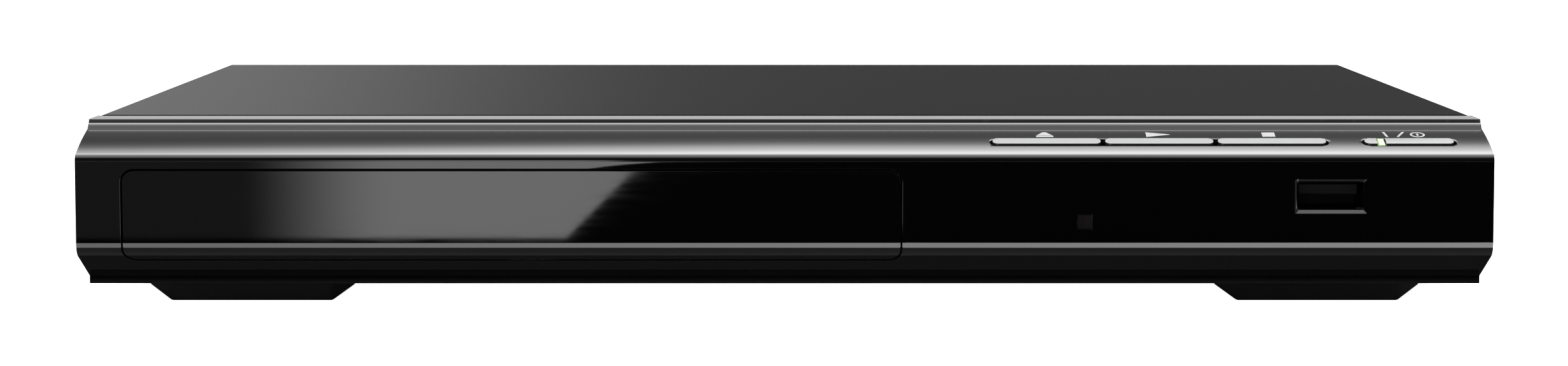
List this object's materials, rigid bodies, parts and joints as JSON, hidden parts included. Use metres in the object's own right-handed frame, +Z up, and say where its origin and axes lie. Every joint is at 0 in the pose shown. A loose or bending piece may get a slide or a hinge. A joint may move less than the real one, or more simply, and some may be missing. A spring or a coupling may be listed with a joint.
{
  "type": "disc player",
  "caption": "Slim disc player whose motorised tray slides out of a gloss front with sloping keys, a USB socket, and video and audio sockets at the rear.",
  "frame": {"origin": "centre of the overall box at the level of the surface it stands on", "axes": "+X to the right along the front's width as a user faces it, +Y from the front towards the rear, +Z up"},
  "size_m": [0.27, 0.209, 0.0385],
  "materials": {
    "cover_paint": "satin fine texture",
    "zinc_steel": "plain zinc plated",
    "bezel_black": "high gloss moulded",
    "door_black": "high gloss moulded",
    "foot_plastic": "fine grain moulded",
    "pad_rubber": "soft matt",
    "key_black": "gloss moulded",
    "light_green": "clear tinted, lit from below",
    "window_dark": "dark infrared filter",
    "tray_plastic": "fine grain moulded",
    "frame_plastic": "moulded",
    "bridge_steel": "pressed sheet",
    "clamper_plastic": "moulded acetal",
    "magnet": "nickel plated",
    "motor_can": "drawn can",
    "gear_plastic": "moulded acetal",
    "belt_rubber": "smooth",
    "deck_steel": "pressed sheet",
    "rod_steel": "ground",
    "sled_black": "moulded",
    "lens": "coated",
    "board_green": "solder mask",
    "board_tan": "paper laminate",
    "chip_black": "moulded",
    "capacitor_sleeve": "shrunk sleeve",
    "cable_white": "flat cable",
    "transformer_tape": "polyester tape",
    "sink_aluminium": "extruded",
    "shell_nickel": "nickel plated",
    "socket_black": "moulded",
    "ring_orange": "moulded",
    "ring_yellow": "moulded",
    "ring_white": "moulded",
    "ring_red": "moulded",
    "screw_zinc": "zinc plated"
  },
  "bodies": {
    "case": {"chassis": "zinc_steel", "top_cover": "cover_paint", "front_bezel": "bezel_black", "front_feet": "foot_plastic", "rear_feet": "foot_plastic", "foot_pads": "pad_rubber", "power_light_pipe": "light_green", "front_board": "board_green", "key_switches": "chip_black", "power_led": "light_green", "ir_window": "window_dark", "ir_receiver": "chip_black", "usb_shell": "shell_nickel", "usb_tongue": "socket_black", "loader_frame": "frame_plastic", "clamp_bridge": "bridge_steel", "loading_motor": "motor_can", "belt": "belt_rubber", "main_board": "board_green", "main_chips": "chip_black", "main_capacitors": "capacitor_sleeve", "front_cable": "cable_white", "loader_cable": "cable_white", "power_board": "board_tan", "transformer": "transformer_tape", "mains_capacitor": "capacitor_sleeve", "heat_sink": "sink_aluminium", "power_parts": "chip_black", "hdmi_shell": "shell_nickel", "hdmi_tongue": "socket_black", "jack_block": "socket_black", "jack_barrels": "shell_nickel", "jack_ring_orange": "ring_orange", "jack_ring_yellow": "ring_yellow", "jack_ring_white": "ring_white", "jack_ring_red": "ring_red", "cord_gland": "socket_black", "screws": "screw_zinc"},
    "tray": {"disc_tray": "tray_plastic", "tray_door": "door_black"},
    "eject_key": {"eject_button": "key_black"},
    "play_key": {"play_button": "key_black"},
    "stop_key": {"stop_button": "key_black"},
    "power_key": {"power_button": "key_black"},
    "disc_clamp": {"clamper": "clamper_plastic", "clamper_magnet": "magnet"},
    "motor_pulley": {"motor_pulley": "gear_plastic"},
    "pulley_gear": {"pulley_gear": "gear_plastic"},
    "drive_gear": {"drive_gear": "gear_plastic"},
    "cam": {"cam_slider": "gear_plastic"},
    "deck": {"lift_deck": "deck_steel", "deck_dampers": "pad_rubber", "spindle_motor": "motor_can", "guide_rods": "rod_steel", "sled_motor": "motor_can"},
    "turntable": {"turntable": "sled_black"},
    "sled": {"pickup_sled": "sled_black", "pickup_lens": "lens"},
    "sled_gear": {"sled_gear": "gear_plastic"},
    "sled_pinion": {"sled_pinion": "gear_plastic"}
  },
  "joints": [
    {"name": "tray_slide", "type": "slide", "parent": "case", "child": "tray", "axis": [0, -1, 0], "range_m": [0, 0.125]},
    {"name": "drive_gear_spin", "type": "hinge", "parent": "case", "child": "drive_gear", "pos_m": [-0.1046, -0.0745, 0.014], "axis": [0, 0, 1], "range_deg": [0, 900]},
    {"name": "pulley_gear_spin", "type": "hinge", "parent": "case", "child": "pulley_gear", "pos_m": [-0.0878, -0.0745, 0.014], "axis": [0, 0, 1], "range_deg": [-2240, 0]},
    {"name": "motor_pulley_spin", "type": "hinge", "parent": "case", "child": "motor_pulley", "pos_m": [-0.0498, -0.0745, 0.014], "axis": [0, 0, 1], "range_deg": [-8210, 0]},
    {"name": "deck_lift", "type": "hinge", "parent": "case", "child": "deck", "pos_m": [-0.052, 0.0535, 0.014], "axis": [-1, 0, 0], "range_deg": [0, 2.4]},
    {"name": "cam_slide", "type": "slide", "parent": "case", "child": "cam", "axis": [1, 0, 0], "range_m": [0, 0.02]},
    {"name": "turntable_spin", "type": "hinge", "parent": "deck", "child": "turntable", "pos_m": [-0.052, -0.0325, 0.018], "axis": [0, 0, 1], "continuous": true},
    {"name": "sled_slide", "type": "slide", "parent": "deck", "child": "sled", "axis": [0, 1, 0], "range_m": [0, 0.034]},
    {"name": "sled_gear_spin", "type": "hinge", "parent": "deck", "child": "sled_gear", "pos_m": [-0.0232, 0.0085, 0.016], "axis": [0, 0, 1], "range_deg": [-410, 0]},
    {"name": "sled_pinion_spin", "type": "hinge", "parent": "deck", "child": "sled_pinion", "pos_m": [-0.0232, 0.018, 0.016], "axis": [0, 0, 1], "range_deg": [0, 1140]},
    {"name": "clamper_spin", "type": "hinge", "parent": "case", "child": "disc_clamp", "pos_m": [-0.052, -0.0325, 0.034], "axis": [0, 0, 1], "continuous": true},
    {"name": "eject_press", "type": "slide", "parent": "case", "child": "eject_key", "axis": [0, 0, -1], "range_m": [0, 0.0005], "stiffness_N_per_m": 900, "springref_m": -0.0006},
    {"name": "play_press", "type": "slide", "parent": "case", "child": "play_key", "axis": [0, 0, -1], "range_m": [0, 0.0005], "stiffness_N_per_m": 900, "springref_m": -0.0006},
    {"name": "stop_press", "type": "slide", "parent": "case", "child": "stop_key", "axis": [0, 0, -1], "range_m": [0, 0.0005], "stiffness_N_per_m": 900, "springref_m": -0.0006},
    {"name": "power_press", "type": "slide", "parent": "case", "child": "power_key", "axis": [0, 0, -1], "range_m": [0, 0.0005], "stiffness_N_per_m": 900, "springref_m": -0.0006}
  ],
  "couplings": [
    {"joint": "drive_gear_spin", "follows": "tray_slide", "rad_per_m": 125},
    {"joint": "pulley_gear_spin", "follows": "tray_slide", "rad_per_m": -312.5},
    {"joint": "motor_pulley_spin", "follows": "tray_slide", "rad_per_m": -1145.8},
    {"joint": "cam_slide", "follows": "deck_lift", "m_per_rad": 0.47746},
    {"joint": "sled_gear_spin", "follows": "sled_slide", "rad_per_m": -208.33},
    {"joint": "sled_pinion_spin", "follows": "sled_slide", "rad_per_m": 583.33}
  ]
}
